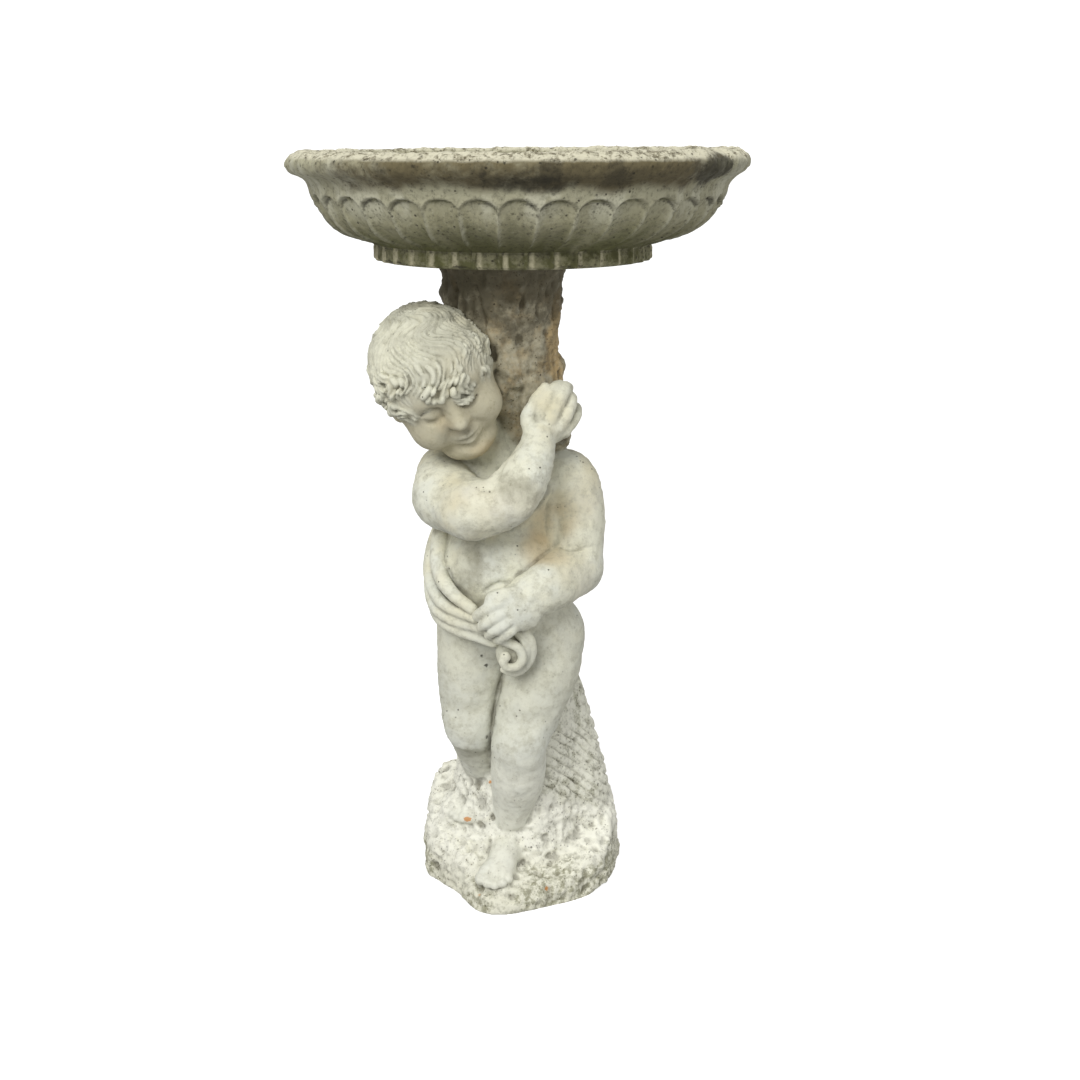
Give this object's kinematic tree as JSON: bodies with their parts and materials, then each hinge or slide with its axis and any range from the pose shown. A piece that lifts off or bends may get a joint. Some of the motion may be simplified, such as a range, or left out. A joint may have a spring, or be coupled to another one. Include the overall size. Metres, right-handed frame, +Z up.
{
  "type": "cherub birdbath",
  "caption": "Cast-stone garden statue: a standing cherub leans on a tree trunk that carries a loose, shallow fluted bowl, on a rocky base.",
  "frame": {"origin": "on the ground, straight under the middle of the bowl", "axes": "+Z up; the cherub looks along -Y; +X is the cherub's own left"},
  "size_m": [0.43, 0.43, 0.755],
  "materials": {
    "pale_cast_stone": "weathered, pitted, pale cream and grey with tan stains",
    "mossy_cast_stone": "weathered, pitted, with dark lichen and olive algae under a pale lip"
  },
  "bodies": {
    "root": {"cherub_pedestal": "pale_cast_stone", "bowl": "mossy_cast_stone"}
  },
  "joints": []
}
